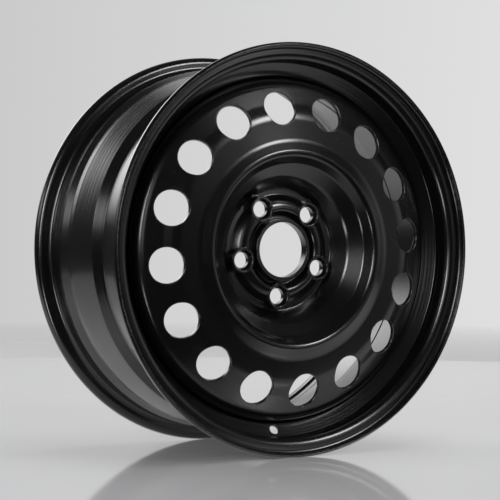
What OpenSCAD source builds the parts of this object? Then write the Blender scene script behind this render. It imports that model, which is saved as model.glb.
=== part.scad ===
// Pressed steel car wheel, 17 x 7.5 J, five wheel nuts on a 108 mm circle.
// A rolled rim and a stamped disc are pressed together and joined by weld beads.
// The axle line is Y. -Y is the outboard face, +Y points to the hub, +Z is up.
// The origin is on the axle line, half way between the two bead seats.
// Sections are drawn as [radius, distance along the axle line].

/* [Rim] */
// Diameter of the bead seat where it meets the flange
seat_d = 436.6; // [430:0.2:440]
// Width between the two flange walls
rim_w = 190.5; // [184:0.5:196]
// Thickness of the rolled rim
rim_t = 2.8; // [2.4:0.1:3.2]
// Height of the flange above the bead seat
flange_h = 17.5; // [16.5:0.1:18.5]
// Outer radius of the flange curl
flange_curl_r = 8; // [7:0.25:9.5]
// How far the flange's lip reaches past the end of its curl
lip_reach = 4; // [3.6:0.1:5]
// Drop of the lip's end below the top of the curl
lip_drop = 2.2; // [1.5:0.1:2.8]
// Flat width between the flange's curl and the corner of its lip
lip_flat_w = 1.5; // [1.5:0.1:2.2]
// Bend between the flange's curl and its lip
lip_bend_r = 3; // [2:0.25:3]
// Corner radius between the flange wall and the bead seat
seat_fillet_r = 6.5; // [5:0.5:8]
// Taper of the bead seat in degrees
seat_taper = 5; // [4:0.5:6]
// Width of each bead seat, from the flange wall to the hump
seat_w = 15.6; // [14:0.2:17]
// Height of the safety hump above the bead seat
hump_h = 1.7; // [1:0.1:2.4]
// Distance from the hump's foot to its crest
hump_rise_w = 4.2; // [3.5:0.1:5]
// Width of the inboard hump's flat top
hump_top_w = 8; // [6:0.5:10]
// Depth of the drop-centre well below the bead seat, on the tyre side
well_depth = 17.3; // [16.5:0.1:18.1]
// Inboard end of the well's floor
well_in = -6; // [-10:0.5:-3]
// Lean of the well's outboard side out of the wheel's plane in degrees
side_lean = 33; // [28:0.5:38]
// Drop of the top of the well's outboard side below the bead seat
side_top_drop = 2.1; // [1.7:0.1:2.7]
// Drop of the inboard shelf below the bead seat at its well end
shelf_in_drop = 9.5; // [8.3:0.1:10.7]
// Drop of the inboard shelf below the bead seat at its hump end
shelf_out_drop = 3.7; // [3.1:0.1:4.7]
// Position of the shelf's well end
shelf_in_z = 7.5; // [5:0.5:10]
// Position of the shelf's hump end
shelf_out_z = 49; // [47:0.5:51]
// Foot of the inboard hump
hump_foot_z = 57.5; // [56:0.5:59]

/* [Valve hole] */
// Diameter of the valve hole
valve_d = 11.5; // [11:0.1:12.5]
// Clock position of the valve hole, past the bottom
valve_turn = 3; // [0:0.5:8]
// Drop of the valve hole's middle below the bead seat, on the well's outboard side
valve_drop = 10.3; // [9.3:0.1:11.3]
// Position of the valve hole's middle
valve_z = -67; // [-68:0.2:-66]

/* [Disc] */
// Thickness of the stamped disc
disc_t = 4.5; // [4:0.1:5]
// Distance from the rim's centre plane out to the hub's mounting face
wheel_offset = 52.5; // [50:0.5:55]
// Diameter of the hub bore
bore_d = 63.4; // [60:0.1:67.1]
// Front edge of the bore's collar
bore_front_z = -67.8; // [-70:0.2:-66]
// Inside bend of the collar at the mounting face
bore_bend_r = 6; // [5:0.25:6.5]
// Clock position of the disc, past the bottom
disc_turn = 5; // [0:0.5:10]
// Height of the nut-seat ridge above the hub plate
ridge_h = 9.6; // [8.6:0.2:10.4]
// Inner foot of the nut-seat ridge
ridge_in_r = 42.4; // [42:0.2:43]
// Outer foot of the nut-seat ridge
ridge_out_r = 63.2; // [62.6:0.2:63.8]
// Inner corner of the nut-seat ridge's rounded top
ridge_crest_r = 46; // [45.6:0.1:46.2]
// Outer corner of the nut-seat ridge's rounded top
ridge_shoulder_r = 52.8; // [52.6:0.1:53.6]
// Bend of the nut-seat ridge's rounded top
ridge_round_r = 11.5; // [8:0.5:11.5]
// Outer radius of the hub plate, where the bowl begins
plate_r = 72; // [71.4:0.2:72.6]
// Radius at the foot of the bowl's cone
bowl_foot_r = 86; // [85.5:0.5:87]
// Position of the foot of the bowl's cone
bowl_foot_z = -74; // [-74.5:0.5:-73.5]
// Radius at the top of the bowl's cone
bowl_top_r = 101; // [100:0.5:102]
// Position of the top of the bowl's cone
bowl_top_z = -84.5; // [-86:0.5:-83]
// Radius of the crown ring
crown_r = 110; // [109:0.5:111]
// Position of the crown ring
crown_z = -97.3; // [-98.5:0.1:-96.5]
// Radius of the shallow groove outside the crown
groove_r = 124.5; // [122:0.5:127]
// Position of the shallow groove outside the crown
groove_z = -91.2; // [-92:0.1:-90.4]
// Radius where the vent band starts
band_r = 138.5; // [137:0.5:140]
// Slope of the vent band in degrees
band_slope = 19.3; // [18:0.1:20.5]
// Bend between the vent band and the skirt
skirt_bend_r = 17; // [12:0.5:20]
// Inboard end of the disc's skirt
skirt_end_z = -24; // [-30:0.5:-20]

/* [Vent holes] */
// Number of vent holes
vent_n = 16; // [12:1:18]
// Diameter of each vent hole
vent_d = 40; // [34:0.5:42]
// Radius of the circle that the vent holes lie on
vent_circle_r = 162.4; // [160:0.2:165]
// Position of a vent hole's middle on the front face
vent_z = -87; // [-88:0.1:-86]

/* [Nut seats] */
// Number of wheel nuts
lug_n = 5; // [4:1:5]
// Diameter of the circle that the nut holes lie on
lug_pcd = 108; // [105:0.1:112]
// Diameter of each nut hole
lug_d = 18.2; // [15:0.1:19]
// Front edge of the nut hole, at the foot of its seat
lug_hole_z = -61; // [-62:0.1:-60.4]
// Half angle of the conical nut seat
seat_half_angle = 30; // [30:1:40]
// Top of the boss round each nut seat
boss_top_z = -66.4; // [-67:0.1:-66]
// Radius of the boss at its top
boss_top_r = 14.6; // [14:0.1:15]
// Radius of the boss at its foot
boss_foot_r = 16.4; // [16:0.1:16.8]
// Depth of the boss behind the front edge of the nut hole
boss_depth = 4.6; // [4:0.1:5.2]

/* [Welds] */
// Number of weld beads between disc and rim
weld_n = 8; // [4:1:8]
// Length of each weld bead in degrees
weld_arc = 24; // [15:1:32]
// Leg of a weld bead along the rim
weld_leg = 5.2; // [4:0.1:6]
// Rise of the bead's rounded face over a flat fillet
weld_crown = 0.7; // [0.4:0.1:1]
// Gap between a bead and the parts that it joins
weld_gap = 0.04; // [0.02:0.01:0.1]
// Radial gap between the disc's skirt and the rim's well
skirt_gap = 0.05; // [0.02:0.01:0.1]

/* [Hidden] */
$fn = 96;
turn_step = 15;
paint = [0.045, 0.046, 0.05];
steel = [0.10, 0.10, 0.105];

seat_r = seat_d / 2;
flange_r = seat_r + flange_h;
well_r = seat_r - well_depth;
side_top_r = seat_r - side_top_drop;
shelf_in_r = seat_r - shelf_in_drop;
shelf_out_r = seat_r - shelf_out_drop;
valve_r = seat_r - valve_drop;
wall_z = rim_w / 2 + rim_t / 2;
top_mid_r = flange_r - rim_t / 2;
curl_mid_r = flange_curl_r - rim_t / 2;
lip_z = wall_z + curl_mid_r + lip_reach;
lip_corner_z = wall_z + curl_mid_r + lip_flat_w;
seat_mid_r = seat_r - rim_t / 2;
seat_foot_z = wall_z - seat_w;
seat_foot_r = seat_mid_r - seat_w * tan(seat_taper);
crest_r = seat_foot_r + hump_h;
crest_z = seat_foot_z - hump_rise_w;
well_mid_r = well_r - rim_t / 2;
well_air_r = well_r - rim_t;

plate_z = -wheel_offset - disc_t / 2;
collar_r = bore_d / 2 + disc_t / 2;
ridge_z = plate_z - ridge_h;
vent_mid_z = vent_z + disc_t / 2 / cos(band_slope);
skirt_mid_r = well_air_r - skirt_gap - disc_t / 2;
band_z = vent_mid_z - (vent_circle_r - band_r) * tan(band_slope);
skirt_top_z = vent_mid_z + (skirt_mid_r - vent_circle_r) * tan(band_slope);

// Position of the well's outboard side at a radius.
function side_z(r) = valve_z - (r - valve_r) * tan(side_lean);

// Middle line of the rim's sheet, from the outboard lip to the inboard lip,
// as [radius, position, bend radius].
rim_line = [
    [top_mid_r - lip_drop, -lip_z, 0],
    [top_mid_r, -lip_corner_z, lip_bend_r],
    [top_mid_r, -wall_z, curl_mid_r],
    [seat_mid_r, -wall_z, seat_fillet_r + rim_t / 2],
    [seat_foot_r, -seat_foot_z, 5],
    [crest_r + 0.2, -crest_z, 3],
    [side_top_r, side_z(side_top_r), 3.5],
    [well_mid_r, side_z(well_mid_r), 6],
    [well_mid_r, well_in, 6],
    [shelf_in_r - rim_t / 2, shelf_in_z, 6],
    [shelf_out_r - rim_t / 2, shelf_out_z, 8],
    [shelf_out_r + 0.2 - rim_t / 2, hump_foot_z, 5],
    [crest_r, crest_z - hump_top_w, 5],
    [crest_r + 0.2, crest_z, 4],
    [seat_foot_r, seat_foot_z, 5],
    [seat_mid_r, wall_z, seat_fillet_r + rim_t / 2],
    [top_mid_r, wall_z, curl_mid_r],
    [top_mid_r, lip_corner_z, lip_bend_r],
    [top_mid_r - lip_drop, lip_z, 0]];

// Middle line of the disc's sheet, from the bore's collar to the skirt's end.
disc_line = [
    [collar_r, bore_front_z, 0],
    [collar_r, plate_z, bore_bend_r - disc_t / 2],
    [ridge_in_r, plate_z, 4],
    [ridge_crest_r, ridge_z, 3],
    [ridge_shoulder_r, ridge_z, ridge_round_r],
    [ridge_out_r, plate_z, 4],
    [plate_r, plate_z, 4.5],
    [bowl_foot_r, bowl_foot_z, 16],
    [bowl_top_r, bowl_top_z, 12],
    [crown_r, crown_z, 5],
    [groove_r, groove_z, 14],
    [band_r, band_z, 30],
    [skirt_mid_r, skirt_top_z, skirt_bend_r],
    [skirt_mid_r, skirt_end_z, 0]];

function unit(v) = v / norm(v);
function xy(p) = [p[0], p[1]];
function side(v) = [-v[1], v[0]];
function bend_turn(a, b) = acos(max(-1, min(1, a * b)));

// Points and normals of a sheet's middle line with every corner rounded.
function bend(p, q, s) =
    let (a = unit(xy(q) - xy(p)), b = unit(xy(s) - xy(q)), t = bend_turn(a, b))
    q[2] == 0 || t < 1 ? [[xy(q), unit(side(a) + side(b))]] :
    let (
        w = a[0] * b[1] - a[1] * b[0] > 0 ? 1 : -1,
        c = xy(q) - a * q[2] * tan(t / 2) + side(a) * w * q[2],
        n = max(2, ceil(t / turn_step)))
    [for (i = [0:n])
        let (
            g = t * i / n * w,
            u = [side(a)[0] * cos(g) - side(a)[1] * sin(g),
                 side(a)[0] * sin(g) + side(a)[1] * cos(g)])
        [c - u * w * q[2], u]];

function round_line(l) = concat(
    [[xy(l[0]), side(unit(xy(l[1]) - xy(l[0])))]],
    [for (i = [1:len(l) - 2]) each bend(l[i - 1], l[i], l[i + 1])],
    [[xy(l[len(l) - 1]), side(unit(xy(l[len(l) - 1]) - xy(l[len(l) - 2])))]]);

function sheet(l, t) =
    let (m = round_line(l), n = len(m))
    concat(
        [for (i = [0:n - 1]) m[i][0] + m[i][1] * t / 2],
        [for (i = [n - 1:-1:0]) m[i][0] - m[i][1] * t / 2]);

// Turns a body built round Z, with Z pointing inboard, onto the axle line.
module on_axle() {
    rotate([-90, 0, 0]) children();
}

// Goes to a clock angle, counted from the top as the outboard face shows it.
module at_clock(a) {
    rotate([0, 0, a - 90]) children();
}

module rolled_sheet(l, t) {
    rotate_extrude($fn = 180) polygon(sheet(l, t));
}

// Punch for the valve hole, square to the well's outboard side.
module valve_punch() {
    at_clock(180 + valve_turn)
        translate([valve_r, 0, valve_z])
            rotate([0, side_lean, 0])
                cylinder(h = 16, d = valve_d, center = true);
}

module rim() {
    color(paint) on_axle() difference() {
        rolled_sheet(rim_line, rim_t);
        valve_punch();
    }
}

// Boss of one nut seat, as it stands on the ridge and behind it.
module seat_boss() {
    back_z = lug_hole_z + boss_depth;
    rotate_extrude() polygon([
        [lug_d / 2 - 2, boss_top_z],
        [boss_top_r - 0.8, boss_top_z],
        [boss_top_r, boss_top_z + 0.7],
        [boss_foot_r, plate_z - disc_t / 2 + 0.6],
        [boss_foot_r - 0.2, plate_z],
        [lug_d / 2 + 3.4, back_z],
        [lug_d / 2 - 2, back_z]]);
}

// Cutter for one nut hole and its conical seat.
module seat_cutter() {
    cone_h = lug_hole_z - boss_top_z;
    cone_r = lug_d / 2 + cone_h * tan(seat_half_angle);
    translate([0, 0, lug_hole_z - 1]) cylinder(h = 14, d = lug_d);
    rotate_extrude() polygon([
        [0, lug_hole_z],
        [lug_d / 2, lug_hole_z],
        [cone_r, boss_top_z],
        [cone_r + 6, boss_top_z - 6],
        [0, boss_top_z - 6]]);
}

module vent_punch() {
    translate([vent_circle_r, 0, vent_mid_z])
        rotate([0, -band_slope, 0])
            cylinder(h = 26, d = vent_d, center = true);
}

module disc() {
    color(paint) on_axle() difference() {
        union() {
            rolled_sheet(disc_line, disc_t);
            for (i = [0:lug_n - 1])
                at_clock(180 + disc_turn + i * 360 / lug_n)
                    translate([lug_pcd / 2, 0, 0]) seat_boss();
        }
        for (i = [0:lug_n - 1])
            at_clock(180 + disc_turn + i * 360 / lug_n)
                translate([lug_pcd / 2, 0, 0]) seat_cutter();
        for (i = [0:vent_n - 1])
            at_clock(180 + disc_turn + (i + 0.5) * 360 / vent_n) vent_punch();
    }
}

// Fillet bead between the end of the disc's skirt and the rim's well.
module weld_bead(i) {
    r0 = well_air_r - weld_gap;
    z0 = skirt_end_z + weld_gap;
    r1 = r0 - disc_t + 0.3;
    k = 0.7071 * weld_crown;
    color(steel) on_axle()
        at_clock(180 + disc_turn + (i - 0.5) * 360 / weld_n - weld_arc / 2)
            rotate_extrude(angle = weld_arc, $fn = 180) polygon([
                [r0, z0],
                [r0, z0 + weld_leg],
                [r0 - 0.6, z0 + weld_leg],
                [(r0 * 2 + r1) / 3 - k, z0 + weld_leg * 0.667 + k],
                [(r0 + r1 * 2) / 3 - k, z0 + weld_leg * 0.333 + k],
                [r1, z0 + 0.6],
                [r1, z0]]);
}

rim();
disc();
weld_bead(1);  // weld_bead_1
weld_bead(2);  // weld_bead_2
weld_bead(3);  // weld_bead_3
weld_bead(4);  // weld_bead_4
weld_bead(5);  // weld_bead_5
weld_bead(6);  // weld_bead_6
weld_bead(7);  // weld_bead_7
weld_bead(8);  // weld_bead_8
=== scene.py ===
"""Black painted pressed steel car wheel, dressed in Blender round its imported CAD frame.

The frame is that of the CAD model, in metres: +Y runs inboard along the axle
line, the outboard face looks to -Y and +Z is up. Sections are written in
millimetres, as [radius, position along the axle line], and clock angles run
clockwise from the top as the outboard face shows them.
"""

import logging
import math
from dataclasses import dataclass, field
from enum import Enum
from typing import Callable

import bmesh
import bpy
import numpy as np
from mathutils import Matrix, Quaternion, Vector


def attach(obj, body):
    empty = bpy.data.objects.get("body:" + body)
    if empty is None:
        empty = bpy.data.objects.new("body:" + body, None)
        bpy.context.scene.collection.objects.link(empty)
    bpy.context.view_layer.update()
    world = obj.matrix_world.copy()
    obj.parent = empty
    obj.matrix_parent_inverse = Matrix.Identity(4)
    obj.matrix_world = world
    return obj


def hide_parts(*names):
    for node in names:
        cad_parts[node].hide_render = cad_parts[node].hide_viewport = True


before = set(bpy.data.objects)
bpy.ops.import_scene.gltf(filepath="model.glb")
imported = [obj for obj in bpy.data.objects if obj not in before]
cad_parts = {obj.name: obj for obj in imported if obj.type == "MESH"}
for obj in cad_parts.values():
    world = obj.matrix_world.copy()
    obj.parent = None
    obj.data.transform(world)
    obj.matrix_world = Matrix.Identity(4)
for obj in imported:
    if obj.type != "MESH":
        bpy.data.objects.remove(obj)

MM = 0.001
BODY = "root"
PHOTO_PIXELS = 500
FLOOR_Z = -0.2358

# Columns of points round the wheel, and the turn from one to the next.
COLUMNS = 240
COLUMN_TURN = 2 * math.pi / COLUMNS

# Steps to a millimetre; points that round to the same step are welded into one.
WELD_STEPS = 500

# The mesh attribute that says how much a point lies on a worn edge.
EDGE = "edge"

logging.basicConfig(level=logging.INFO, format="%(levelname)s %(message)s")
log = logging.getLogger("steel_wheel")


class Face(Enum):
    """The two faces of a sheet, by the side of its middle line that they lie on."""

    OUTER = -1
    INNER = 1


class Slot(Enum):
    """Material slots of the record."""

    RIM = "rim_paint"
    DISC = "disc_paint"
    BEAD = "bead_paint"


# Sections


@dataclass(frozen=True)
class Corner:
    """One corner of a sheet's middle line.

    Args:
        radius: distance from the axle line, in mm.
        position: place along the axle line, in mm.
        bend: bend radius of the middle line there, in mm.
    """

    radius: float
    position: float
    bend: float = 0.0


def unit(v: np.ndarray) -> np.ndarray:
    """A vector, or each row of an array, at length one."""
    return v / np.linalg.norm(v, axis=-1, keepdims=True)


def left(v: np.ndarray) -> np.ndarray:
    """A vector of the section's plane, turned left by a quarter."""
    return np.array([-v[1], v[0]])


class Section:
    """The middle line of a sheet with its bends rounded, and what lies on either face.

    Args:
        corners: the corners, from one edge of the sheet to the other.
        thickness: thickness of the sheet in mm.
        step: largest turn between two points of a bend, in degrees.
        gap: largest distance between two points of a straight stretch, in mm.
    """

    def __init__(
        self, corners: list[Corner], thickness: float, step: float = 7.0, gap: float = 14.0
    ) -> None:
        self.thickness = thickness
        points, normals = self._rounded(corners, math.radians(step))
        self.points, self.normals = self._filled(points, normals, gap)
        spans = np.linalg.norm(np.diff(self.points, axis=0), axis=1)
        self.length = np.concatenate([[0.0], np.cumsum(spans)])

    @staticmethod
    def _rounded(corners: list[Corner], step: float) -> tuple[np.ndarray, np.ndarray]:
        """Points of the rounded line and its left-hand normals."""
        least_turn, least_count = math.radians(1), 3
        at = [np.array([c.radius, c.position]) for c in corners]
        points = [at[0]]
        normals = [left(unit(at[1] - at[0]))]
        for p, q, s, corner in zip(at, at[1:], at[2:], corners[1:]):
            a, b = unit(q - p), unit(s - q)
            turn = math.acos(float(np.clip(a @ b, -1, 1)))
            if corner.bend == 0 or turn < least_turn:
                points.append(q)
                normals.append(unit(left(a) + left(b)))
                continue
            way = 1.0 if a[0] * b[1] - a[1] * b[0] > 0 else -1.0
            centre = q - a * corner.bend * math.tan(turn / 2) + left(a) * way * corner.bend
            count = max(least_count, math.ceil(turn / step))
            n = left(a)
            for g in np.linspace(0, turn * way, count + 1):
                u = n * math.cos(g) + left(n) * math.sin(g)
                points.append(centre - u * way * corner.bend)
                normals.append(u)
        points.append(at[-1])
        normals.append(left(unit(at[-1] - at[-2])))
        return np.array(points), np.array(normals)

    @staticmethod
    def _filled(
        points: np.ndarray, normals: np.ndarray, gap: float
    ) -> tuple[np.ndarray, np.ndarray]:
        """The same line with points set in its long straight stretches."""
        least_span = 1e-6
        out_p, out_n = [points[0]], [normals[0]]
        for i in range(1, len(points)):
            span = float(np.linalg.norm(points[i] - points[i - 1]))
            if span < least_span:
                continue
            count = max(1, math.ceil(span / gap))
            for k in range(1, count + 1):
                w = k / count
                out_p.append(points[i - 1] * (1 - w) + points[i] * w)
                out_n.append(unit(normals[i - 1] * (1 - w) + normals[i] * w))
        return np.array(out_p), np.array(out_n)

    def along(self, s: np.ndarray) -> tuple[np.ndarray, np.ndarray]:
        """Middle points and normals at distances along the line.

        Args:
            s: distances in mm from the line's first corner.

        Returns:
            The points and the left-hand normals, one row for each distance.
        """
        s = np.asarray(s, float)
        p = np.stack([np.interp(s, self.length, self.points[:, k]) for k in (0, 1)], -1)
        n = np.stack([np.interp(s, self.length, self.normals[:, k]) for k in (0, 1)], -1)
        return p, unit(n)

    def on_face(self, s: np.ndarray, face: Face) -> tuple[np.ndarray, np.ndarray]:
        """Points and outward normals of one face at distances along the middle line."""
        p, n = self.along(s)
        n = n * face.value
        return p + n * self.thickness / 2, n

    def place_of(self, face: Face, radius: float, near: float) -> float:
        """Distance along the line at which a face passes a radius.

        Args:
            face: the face of the sheet.
            radius: the radius in mm.
            near: a distance along the line close to the wanted place.

        Returns:
            The distance in mm from the line's first corner.
        """
        reach, count = 20, 4001
        s = np.linspace(near - reach, near + reach, count)
        s = s[(s >= 0) & (s <= self.length[-1])]
        r = self.on_face(s, face)[0][:, 0] - radius
        cross = np.where(np.sign(r[1:]) != np.sign(r[:-1]))[0]
        best = cross[np.argmin(np.abs(s[cross] - near))]
        w = r[best] / (r[best] - r[best + 1])
        return float(s[best] * (1 - w) + s[best + 1] * w)

    def nearest(self, radius: float, position: float) -> float:
        """Distance along the line of its place nearest to a point of the section's plane."""
        reach, count = 12, 4801
        point = np.array([radius, position])
        about = self.length[np.argmin(np.abs(self.points - point).sum(axis=1))]
        s = np.linspace(about - reach, about + reach, count)
        return float(s[np.argmin(np.linalg.norm(self.along(s)[0] - point, axis=1))])

    def rows(self, start: float, end: float) -> np.ndarray:
        """The line's own points between two distances, with both ends."""
        least = 0.02
        inner = self.length[(self.length > start + least) & (self.length < end - least)]
        return np.concatenate([[start], inner, [end]])


# Meshes


def placed(name: str, data: bpy.types.ID) -> bpy.types.Object:
    """Makes an object and links it to the scene."""
    obj = bpy.data.objects.new(name, data)
    bpy.context.scene.collection.objects.link(obj)
    return obj


@dataclass
class Rows:
    """Rows of points with their normals and their share of wear, collected one by one."""

    points: list[np.ndarray] = field(default_factory=list)
    normals: list[np.ndarray] = field(default_factory=list)
    worn: list[float] = field(default_factory=list)

    def add(self, points: np.ndarray, normals: np.ndarray, worn: float = 0.0) -> None:
        """Adds one row."""
        self.points.append(points)
        self.normals.append(normals)
        self.worn.append(worn)

    def arrays(self) -> tuple[np.ndarray, np.ndarray, np.ndarray]:
        """The points, the normals and the wear of all rows."""
        return np.array(self.points), np.array(self.normals), np.array(self.worn)


class Shell:
    """Collects grids of points with their true normals, and welds them into one mesh."""

    def __init__(self) -> None:
        self.points: list[np.ndarray] = []
        self.normals: list[np.ndarray] = []
        self.edge: list[np.ndarray] = []
        self.quads: list[np.ndarray] = []
        self.count = 0

    def grid(
        self, points: np.ndarray, normals: np.ndarray, wrap: bool, edge: float | np.ndarray = 0.0
    ) -> None:
        """Adds a grid of rows and columns.

        Args:
            points: rows x columns x 3, in mm.
            normals: outward normals of the same shape.
            wrap: True where the last column joins the first.
            edge: how much each point lies on a worn edge, from 0 to 1.
        """
        rows, cols = points.shape[:2]
        index = np.arange(rows * cols).reshape(rows, cols) + self.count
        if wrap:
            index = np.concatenate([index, index[:, :1]], axis=1)
        quads = np.stack([index[:-1, :-1], index[:-1, 1:], index[1:, 1:], index[1:, :-1]], -1)
        self.points.append(points.reshape(-1, 3))
        self.normals.append(normals.reshape(-1, 3))
        worn = np.broadcast_to(np.asarray(edge, float).reshape(-1, 1), (rows, cols))
        self.edge.append(worn.reshape(-1))
        self.quads.append(quads.reshape(-1, 4))
        self.count += rows * cols

    def build(self, name: str) -> bpy.types.Object:
        """Welds what was added and returns it as an object with exact normals."""
        points = np.concatenate(self.points)
        normals = np.concatenate(self.normals)
        edge = np.concatenate(self.edge)
        quads = np.concatenate(self.quads)
        keys = np.round(points * WELD_STEPS).astype(np.int64)
        _, first, inverse = np.unique(keys, axis=0, return_index=True, return_inverse=True)
        quads = inverse.reshape(-1)[quads]
        faces = []
        for q in quads.tolist():
            ring = [v for i, v in enumerate(q) if v != q[i - 1]]
            if len(ring) > 2 and len(set(ring)) == len(ring):
                faces.append(ring)
        mesh = bpy.data.meshes.new(name)
        mesh.from_pydata((points[first] * MM).tolist(), [], faces)
        bm = bmesh.new()
        bm.from_mesh(mesh)
        bmesh.ops.recalc_face_normals(bm, faces=bm.faces)
        if bm.calc_volume(signed=True) < 0:
            bmesh.ops.reverse_faces(bm, faces=bm.faces)
        open_edges = sum(1 for e in bm.edges if len(e.link_faces) != 2)
        bm.to_mesh(mesh)
        bm.free()
        mesh.shade_smooth()
        facing = np.zeros(len(mesh.vertices) * 3)
        mesh.vertices.foreach_get("normal", facing)
        exact = unit(normals[first])
        flip = np.sum(facing.reshape(-1, 3) * exact, axis=1) < 0
        if flip.any():
            log.warning("%s: %d normals pointed inwards", name, int(flip.sum()))
        exact[flip] *= -1
        mesh.normals_split_custom_set_from_vertices(exact.tolist())
        attribute = mesh.attributes.new(EDGE, "FLOAT", "POINT")
        attribute.data.foreach_set("value", edge[first].astype(np.float32))
        if open_edges:
            log.warning("%s: %d open edges", name, open_edges)
        return placed(name, mesh)


def turned(section_points: np.ndarray, clock: np.ndarray) -> np.ndarray:
    """Section points (or normals) turned to clock angles.

    Args:
        section_points: [..., 2] of radius and position.
        clock: clock angles in radians, that broadcast with the points.

    Returns:
        [..., 3] of x, y, z.
    """
    r, y, t = np.broadcast_arrays(section_points[..., 0], section_points[..., 1], clock)
    return np.stack([r * np.sin(t), y, r * np.cos(t)], -1)


@dataclass
class Hole:
    """A punched hole square to a straight stretch of a sheet.

    Args:
        section: the sheet's section.
        place: distance along the middle line of the hole's middle, in mm.
        clock: clock angle of the hole's middle, in radians.
        radius: radius of the hole in mm.
        edges: rounding of the outer and the inner edge, in mm.
        half_span: half of the patch's width in columns.
        start: first distance along the line that the patch covers.
        end: last distance along the line that the patch covers.
        lines: number of steps along the sheet on each side of the patch.
    """

    section: Section
    place: float
    clock: float
    radius: float
    edges: tuple[float, float]
    half_span: float
    start: float
    end: float
    lines: int

    def slant(self) -> tuple[float, float]:
        """Radius of the hole's middle, and how much it grows over a mm along the sheet."""
        probe = 0.5
        here, ahead = self.section.along(np.array([self.place, self.place + probe]))[0][:, 0]
        return float(here), float(ahead - here) / probe

    def ring(self, reach: float, way: np.ndarray) -> tuple[np.ndarray, np.ndarray]:
        """Places on the sheet at a distance from the hole's middle.

        Args:
            reach: distance in mm, or one for each direction.
            way: directions in radians.

        Returns:
            Distances along the middle line, and clock angles.
        """
        r0, slope = self.slant()
        u, v = reach * np.cos(way), reach * np.sin(way)
        plan = r0 + u * slope
        return self.place + (np.hypot(plan, v) - r0) / slope, self.clock + np.arctan2(v, plan)

    def outline(self) -> tuple[np.ndarray, np.ndarray]:
        """The patch's boundary as distances along the line and clock angles."""
        width = self.half_span * COLUMN_TURN
        steps = int(round(self.half_span * 2))
        s = np.linspace(self.start, self.end, self.lines + 1)
        t = np.linspace(self.clock - width, self.clock + width, steps + 1)
        sides = [
            (np.full(steps, self.start), t[:-1]),
            (s[:-1], np.full(self.lines, t[-1])),
            (np.full(steps, self.end), t[:0:-1]),
            (s[:0:-1], np.full(self.lines, t[0])),
        ]
        return np.concatenate([a for a, _ in sides]), np.concatenate([b for _, b in sides])

    def add(self, shell: Shell, between: int = 5) -> None:
        """Adds both faces of the patch and the hole's wall.

        Args:
            shell: what the patch is added to.
            between: rings between the patch's boundary and the hole.
        """
        margin, probe, crowding = 1.2, 0.5, 0.9
        lip_wear, wall_wear = 0.25, 0.2
        edge_s, edge_t = self.outline()
        r0, slope = self.slant()
        r_edge = r0 + (edge_s - self.place) * slope
        turn = edge_t - self.clock
        u = (r_edge * np.cos(turn) - r0) / slope
        way = np.arctan2(r_edge * np.sin(turn), u)
        half = self.section.thickness / 2
        wall = Rows()
        for face, edge_r in zip((Face.OUTER, Face.INNER), self.edges):
            rows = Rows()
            near_s, near_t = self.ring(self.radius + edge_r + margin, way)
            for k in range(between + 1):
                w = (k / between) ** crowding
                s = edge_s * (1 - w) + near_s * w
                t = edge_t * (1 - w) + near_t * w
                p, n = self.section.on_face(s, face)
                rows.add(turned(p, t), turned(n, t))
            for a in np.radians(np.linspace(0, 90, 6)):
                reach = self.radius + edge_r * (1 - math.sin(a))
                s, t = self.ring(reach, way)
                far_s, far_t = self.ring(reach + probe, way)
                p, n = self.section.along(s)
                far_p, _ = self.section.along(far_s)
                n = n * face.value
                depth = half - edge_r * (1 - math.cos(a))
                out = unit(turned(far_p, far_t) - turned(p, t))
                rows.add(
                    turned(p + n * depth, t),
                    unit(turned(n, t) * math.cos(a) - out * math.sin(a)),
                    math.sin(a * 2) ** 0.5 if 0 < a < math.pi / 2 else lip_wear,
                )
            points, normals, worn = rows.arrays()
            shell.grid(points, normals, True, worn)
            wall.add(points[-1], normals[-1], wall_wear)
        points, normals, worn = wall.arrays()
        shell.grid(points, normals, True, worn)


@dataclass
class Sheet:
    """A sheet turned about the axle line, closed at both edges.

    Args:
        section: its section.
        clock: clock angle of its first column, in radians.
        edge_r: rounding of the sheet's two ends, in mm.
    """

    section: Section
    clock: float = 0.0
    edge_r: float = 0.7
    shell: Shell = field(default_factory=Shell)

    def turn_round(
        self,
        points: np.ndarray,
        normals: np.ndarray,
        columns: range = range(COLUMNS),
        edge: float | np.ndarray = 0.0,
    ) -> None:
        """Adds a row of the section's plane, turned to columns; a full circle is closed."""
        t = self.clock + np.array(columns)[None, :] * COLUMN_TURN
        wrap = len(columns) == COLUMNS
        self.shell.grid(turned(points[:, None, :], t), turned(normals[:, None, :], t), wrap, edge)

    def strip(self, face: Face, s: np.ndarray) -> None:
        """Adds a full ring of one face over the given distances along the line."""
        self.turn_round(*self.section.on_face(s, face))

    def sector(self, face: Face, s: np.ndarray, first: int, last: int) -> None:
        """Adds part of a ring of one face, from one column to another."""
        self.turn_round(*self.section.on_face(s, face), range(first, last + 1))

    def cap(self, at_end: bool) -> None:
        """Closes one end of the sheet with rounded edges."""
        flat_wear = 0.3
        place = self.section.length[-1] if at_end else 0.0
        p, n = (v[0] for v in self.section.along(np.array([place])))
        ahead = -left(n) if at_end else left(n)
        half, e = self.section.thickness / 2, self.edge_r
        bend = np.linspace(0, 90, 5)
        rows = Rows()
        for side, angles in ((1, bend), (-1, bend[::-1])):
            across = n * side
            for degrees in angles:
                a = math.radians(degrees)
                rows.add(
                    p + ahead * (e * math.sin(a) - e) + across * (half - e + e * math.cos(a)),
                    ahead * math.sin(a) + across * math.cos(a),
                    math.sin(2 * a) if 0 < degrees < 90 else flat_wear,
                )
        points, normals, worn = rows.arrays()
        self.turn_round(points, normals, edge=worn)


# Rim


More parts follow.
